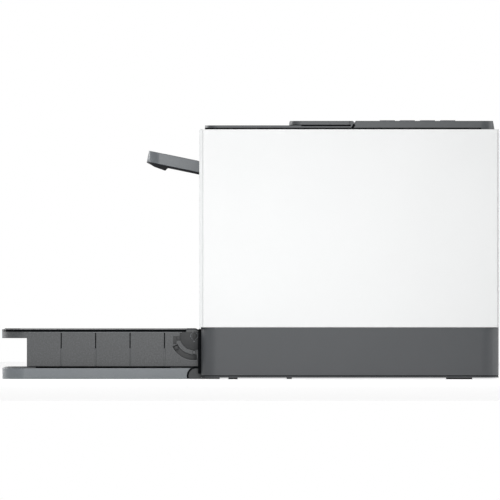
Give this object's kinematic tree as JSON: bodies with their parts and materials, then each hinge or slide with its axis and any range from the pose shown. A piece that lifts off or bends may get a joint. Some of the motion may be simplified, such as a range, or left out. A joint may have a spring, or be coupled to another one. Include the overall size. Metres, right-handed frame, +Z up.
{
  "type": "laser printer",
  "caption": "Desktop laser printer with a fold-down paper tray under a dust cover, a lid with an output bin and support, a control deck, a rear door and a full paper path inside.",
  "frame": {"origin": "middle of the whole outline, on the surface the printer stands on, with the tray down", "axes": "-Y towards the user and the tray, +Z up, +X to the printer's right side as the user faces it"},
  "size_m": [0.36, 0.448, 0.2334],
  "materials": {
    "base_pan": "moulded grain, dark grey",
    "rubber_feet": "moulded rubber",
    "tray_hinge_brackets": "moulded grain, dark grey",
    "side_panel_right": "fine moulded texture, white",
    "side_panel_left": "fine moulded texture, white",
    "front_bezel": "fine moulded texture, white",
    "bay_liner": "moulded grain, dark grey",
    "rear_panel": "fine moulded texture, white",
    "control_deck": "moulded grain, dark grey",
    "side_frame_right": "zinc-plated steel",
    "side_frame_left": "zinc-plated steel",
    "paper_guide": "moulded grain, dark grey",
    "separation_pad": "moulded rubber",
    "fuser_frame": "black moulded",
    "toner_cartridge": "black moulded",
    "scanner_case": "black moulded",
    "drive_motor": "zinc-plated steel",
    "main_board": "green solder resist",
    "power_supply": "green solder resist",
    "power_inlet": "black moulded",
    "fan_case": "black moulded",
    "control_board": "green solder resist",
    "screws": "zinc-plated steel",
    "lift_plate": "zinc-plated steel",
    "pickup_roller": "moulded rubber",
    "pickup_gear": "natural acetal",
    "feed_roller": "moulded rubber",
    "feed_idler_roller": "moulded grain, dark grey",
    "drum": "glossy photoconductor coating",
    "drum_gear": "natural acetal",
    "transfer_roller": "moulded rubber",
    "heat_roller": "coated heat roller",
    "heat_gear": "natural acetal",
    "pressure_roller": "silicone rubber",
    "exit_roller": "moulded rubber",
    "exit_pinch_roller": "fine moulded texture, mid grey",
    "motor_pinion": "zinc-plated steel",
    "idler_motor_feed": "natural acetal",
    "idler_feed_pickup": "natural acetal",
    "idler_feed_drum": "natural acetal",
    "idler_drum_fuser": "natural acetal",
    "idler_fuser_exit": "natural acetal",
    "polygon_mirror": "polished facets",
    "fan_rotor": "black moulded",
    "key_power": "moulded grain, dark grey",
    "key_start": "moulded grain, dark grey",
    "key_cancel": "moulded grain, dark grey",
    "key_network": "moulded grain, dark grey",
    "power_rocker": "black moulded",
    "rear_door": "fine moulded texture, white",
    "top_lid": "moulded grain, dark grey",
    "exit_flap": "moulded grain, dark grey",
    "output_support": "fine moulded texture, mid grey",
    "output_support_grip": "black moulded",
    "paper_tray": "fine moulded texture, mid grey",
    "tray_floor": "moulded grain, dark grey",
    "width_guide_right": "moulded grain, dark grey",
    "width_guide_left": "moulded grain, dark grey",
    "guide_pinion": "natural acetal",
    "dust_cover": "moulded grain, dark grey"
  },
  "bodies": {
    "body": {"base_pan": "base_pan", "rubber_feet": "rubber_feet", "tray_hinge_brackets": "tray_hinge_brackets", "side_panel_right": "side_panel_right", "side_panel_left": "side_panel_left", "front_bezel": "front_bezel", "bay_liner": "bay_liner", "rear_panel": "rear_panel", "control_deck": "control_deck", "side_frame_right": "side_frame_right", "side_frame_left": "side_frame_left", "paper_guide": "paper_guide", "separation_pad": "separation_pad", "fuser_frame": "fuser_frame", "toner_cartridge": "toner_cartridge", "scanner_case": "scanner_case", "drive_motor": "drive_motor", "main_board": "main_board", "power_supply": "power_supply", "power_inlet": "power_inlet", "fan_case": "fan_case", "control_board": "control_board", "screws": "screws"},
    "lift": {"lift_plate": "lift_plate"},
    "pickup": {"pickup_roller": "pickup_roller", "pickup_gear": "pickup_gear"},
    "feed": {"feed_roller": "feed_roller"},
    "feed_pinch": {"feed_idler_roller": "feed_idler_roller"},
    "drum_unit": {"drum": "drum", "drum_gear": "drum_gear"},
    "transfer": {"transfer_roller": "transfer_roller"},
    "heater": {"heat_roller": "heat_roller", "heat_gear": "heat_gear"},
    "presser": {"pressure_roller": "pressure_roller"},
    "exit": {"exit_roller": "exit_roller"},
    "exit_pinch": {"exit_pinch_roller": "exit_pinch_roller"},
    "motor_shaft": {"motor_pinion": "motor_pinion"},
    "gear_motor_feed": {"idler_motor_feed": "idler_motor_feed"},
    "gear_feed_pickup": {"idler_feed_pickup": "idler_feed_pickup"},
    "gear_feed_drum": {"idler_feed_drum": "idler_feed_drum"},
    "gear_drum_fuser": {"idler_drum_fuser": "idler_drum_fuser"},
    "gear_fuser_exit": {"idler_fuser_exit": "idler_fuser_exit"},
    "mirror": {"polygon_mirror": "polygon_mirror"},
    "fan": {"fan_rotor": "fan_rotor"},
    "power_key": {"key_power": "key_power"},
    "start_key": {"key_start": "key_start"},
    "cancel_key": {"key_cancel": "key_cancel"},
    "network_key": {"key_network": "key_network"},
    "rocker": {"power_rocker": "power_rocker"},
    "door": {"rear_door": "rear_door"},
    "lid": {"top_lid": "top_lid"},
    "flap": {"exit_flap": "exit_flap"},
    "support": {"output_support": "output_support", "output_support_grip": "output_support_grip"},
    "tray": {"paper_tray": "paper_tray", "tray_floor": "tray_floor"},
    "guide_right": {"width_guide_right": "width_guide_right"},
    "guide_left": {"width_guide_left": "width_guide_left"},
    "pinion": {"guide_pinion": "guide_pinion"},
    "cover": {"dust_cover": "dust_cover"}
  },
  "joints": [
    {"name": "tray_fold", "type": "hinge", "parent": "body", "child": "tray", "pos_m": [0, -0.049, 0.00315], "axis": [-1, 0, 0], "range_deg": [0, 90]},
    {"name": "cover_open", "type": "hinge", "parent": "tray", "child": "cover", "pos_m": [0, -0.0508, 0.0391], "axis": [1, 0, 0], "range_deg": [-56, 0]},
    {"name": "lid_open", "type": "hinge", "parent": "body", "child": "lid", "pos_m": [0, 0.128, 0.2195], "axis": [-1, 0, 0], "range_deg": [0, 60]},
    {"name": "flap_open", "type": "hinge", "parent": "lid", "child": "flap", "pos_m": [0, 0.0915, 0.2308], "axis": [-1, 0, 0], "range_deg": [0, 75]},
    {"name": "support_slide", "type": "slide", "parent": "lid", "child": "support", "axis": [0, -0.9792, 0.2028], "range_m": [-0.026, 0]},
    {"name": "rear_door_open", "type": "hinge", "parent": "body", "child": "door", "pos_m": [0, 0.222, 0.0746], "axis": [-1, 0, 0], "range_deg": [0, 90]},
    {"name": "power_key_press", "type": "slide", "parent": "body", "child": "power_key", "axis": [0, 0, 1], "range_m": [-0.0005, 0], "stiffness_N_per_m": 400},
    {"name": "start_key_press", "type": "slide", "parent": "body", "child": "start_key", "axis": [0, 0, 1], "range_m": [-0.0005, 0], "stiffness_N_per_m": 400},
    {"name": "cancel_key_press", "type": "slide", "parent": "body", "child": "cancel_key", "axis": [0, 0, 1], "range_m": [-0.0005, 0], "stiffness_N_per_m": 400},
    {"name": "network_key_press", "type": "slide", "parent": "body", "child": "network_key", "axis": [0, 0, 1], "range_m": [-0.0005, 0], "stiffness_N_per_m": 400},
    {"name": "rocker_tilt", "type": "hinge", "parent": "body", "child": "rocker", "pos_m": [0.14, 0.2191, 0.101], "axis": [1, 0, 0], "range_deg": [0, 12]},
    {"name": "lift_rise", "type": "hinge", "parent": "body", "child": "lift", "pos_m": [0, 0.002, 0.0089], "axis": [1, 0, 0], "range_deg": [0, 10]},
    {"name": "drum_spin", "type": "hinge", "parent": "body", "child": "drum_unit", "pos_m": [0, 0.1005, 0.098], "axis": [1, 0, 0], "continuous": true},
    {"name": "feed_spin", "type": "hinge", "parent": "body", "child": "feed", "pos_m": [0, 0.101, 0.064], "axis": [1, 0, 0], "continuous": true},
    {"name": "pickup_spin", "type": "hinge", "parent": "body", "child": "pickup", "pos_m": [0, 0.07, 0.0365], "axis": [1, 0, 0], "continuous": true},
    {"name": "heater_spin", "type": "hinge", "parent": "body", "child": "heater", "pos_m": [0, 0.103, 0.158], "axis": [1, 0, 0], "continuous": true},
    {"name": "exit_spin", "type": "hinge", "parent": "body", "child": "exit", "pos_m": [0, 0.1, 0.2], "axis": [1, 0, 0], "continuous": true},
    {"name": "feed_drum_gear_spin", "type": "hinge", "parent": "body", "child": "gear_feed_drum", "pos_m": [0, 0.08536, 0.07565], "axis": [1, 0, 0], "continuous": true},
    {"name": "drum_fuser_gear_spin", "type": "hinge", "parent": "body", "child": "gear_drum_fuser", "pos_m": [0, 0.11132, 0.12918], "axis": [1, 0, 0], "continuous": true},
    {"name": "fuser_exit_gear_spin", "type": "hinge", "parent": "body", "child": "gear_fuser_exit", "pos_m": [0, 0.10758, 0.18258], "axis": [1, 0, 0], "continuous": true},
    {"name": "feed_pickup_gear_spin", "type": "hinge", "parent": "body", "child": "gear_feed_pickup", "pos_m": [0, 0.09745, 0.04584], "axis": [1, 0, 0], "continuous": true},
    {"name": "motor_feed_gear_spin", "type": "hinge", "parent": "body", "child": "gear_motor_feed", "pos_m": [0, 0.12646, 0.05359], "axis": [1, 0, 0], "continuous": true},
    {"name": "motor_spin", "type": "hinge", "parent": "body", "child": "motor_shaft", "pos_m": [0, 0.15, 0.062], "axis": [1, 0, 0], "continuous": true},
    {"name": "feed_pinch_spin", "type": "hinge", "parent": "body", "child": "feed_pinch", "pos_m": [0, 0.1153, 0.064], "axis": [1, 0, 0], "continuous": true},
    {"name": "transfer_spin", "type": "hinge", "parent": "body", "child": "transfer", "pos_m": [0, 0.1203, 0.098], "axis": [1, 0, 0], "continuous": true},
    {"name": "presser_spin", "type": "hinge", "parent": "body", "child": "presser", "pos_m": [0, 0.1233, 0.158], "axis": [1, 0, 0], "continuous": true},
    {"name": "exit_pinch_spin", "type": "hinge", "parent": "body", "child": "exit_pinch", "pos_m": [0, 0.1, 0.2113], "axis": [1, 0, 0], "continuous": true},
    {"name": "mirror_spin", "type": "hinge", "parent": "body", "child": "mirror", "pos_m": [0, 0.038, 0.068], "axis": [0, 0, 1], "continuous": true},
    {"name": "fan_spin", "type": "hinge", "parent": "body", "child": "fan", "pos_m": [-0.15, 0.2166, 0.147], "axis": [0, 1, 0], "continuous": true},
    {"name": "guide_right_slide", "type": "slide", "parent": "tray", "child": "guide_right", "axis": [-1, 0, 0], "range_m": [0, 0.06]},
    {"name": "guide_left_slide", "type": "slide", "parent": "tray", "child": "guide_left", "axis": [1, 0, 0], "range_m": [0, 0.06]},
    {"name": "guide_pinion_spin", "type": "hinge", "parent": "tray", "child": "pinion", "pos_m": [0, -0.1258, 0.0053], "axis": [0, 0, 1], "range_deg": [0, 429.72]}
  ],
  "couplings": [
    {"joint": "feed_spin", "follows": "drum_spin", "ratio": 1.7143},
    {"joint": "pickup_spin", "follows": "drum_spin", "ratio": 0.85714},
    {"joint": "heater_spin", "follows": "drum_spin", "ratio": 1.2},
    {"joint": "exit_spin", "follows": "drum_spin", "ratio": 2},
    {"joint": "feed_drum_gear_spin", "follows": "drum_spin", "ratio": -2},
    {"joint": "drum_fuser_gear_spin", "follows": "drum_spin", "ratio": -1.2},
    {"joint": "fuser_exit_gear_spin", "follows": "drum_spin", "ratio": -1.8},
    {"joint": "feed_pickup_gear_spin", "follows": "drum_spin", "ratio": -2.25},
    {"joint": "motor_feed_gear_spin", "follows": "drum_spin", "ratio": -1.0588},
    {"joint": "motor_spin", "follows": "drum_spin", "ratio": 2.25},
    {"joint": "feed_pinch_spin", "follows": "drum_spin", "ratio": -1.7143},
    {"joint": "transfer_spin", "follows": "drum_spin", "ratio": -1.6},
    {"joint": "presser_spin", "follows": "drum_spin", "ratio": -1.2},
    {"joint": "exit_pinch_spin", "follows": "drum_spin", "ratio": -2.4},
    {"joint": "guide_left_slide", "follows": "guide_right_slide", "ratio": 1},
    {"joint": "guide_pinion_spin", "follows": "guide_right_slide", "rad_per_m": 125}
  ]
}
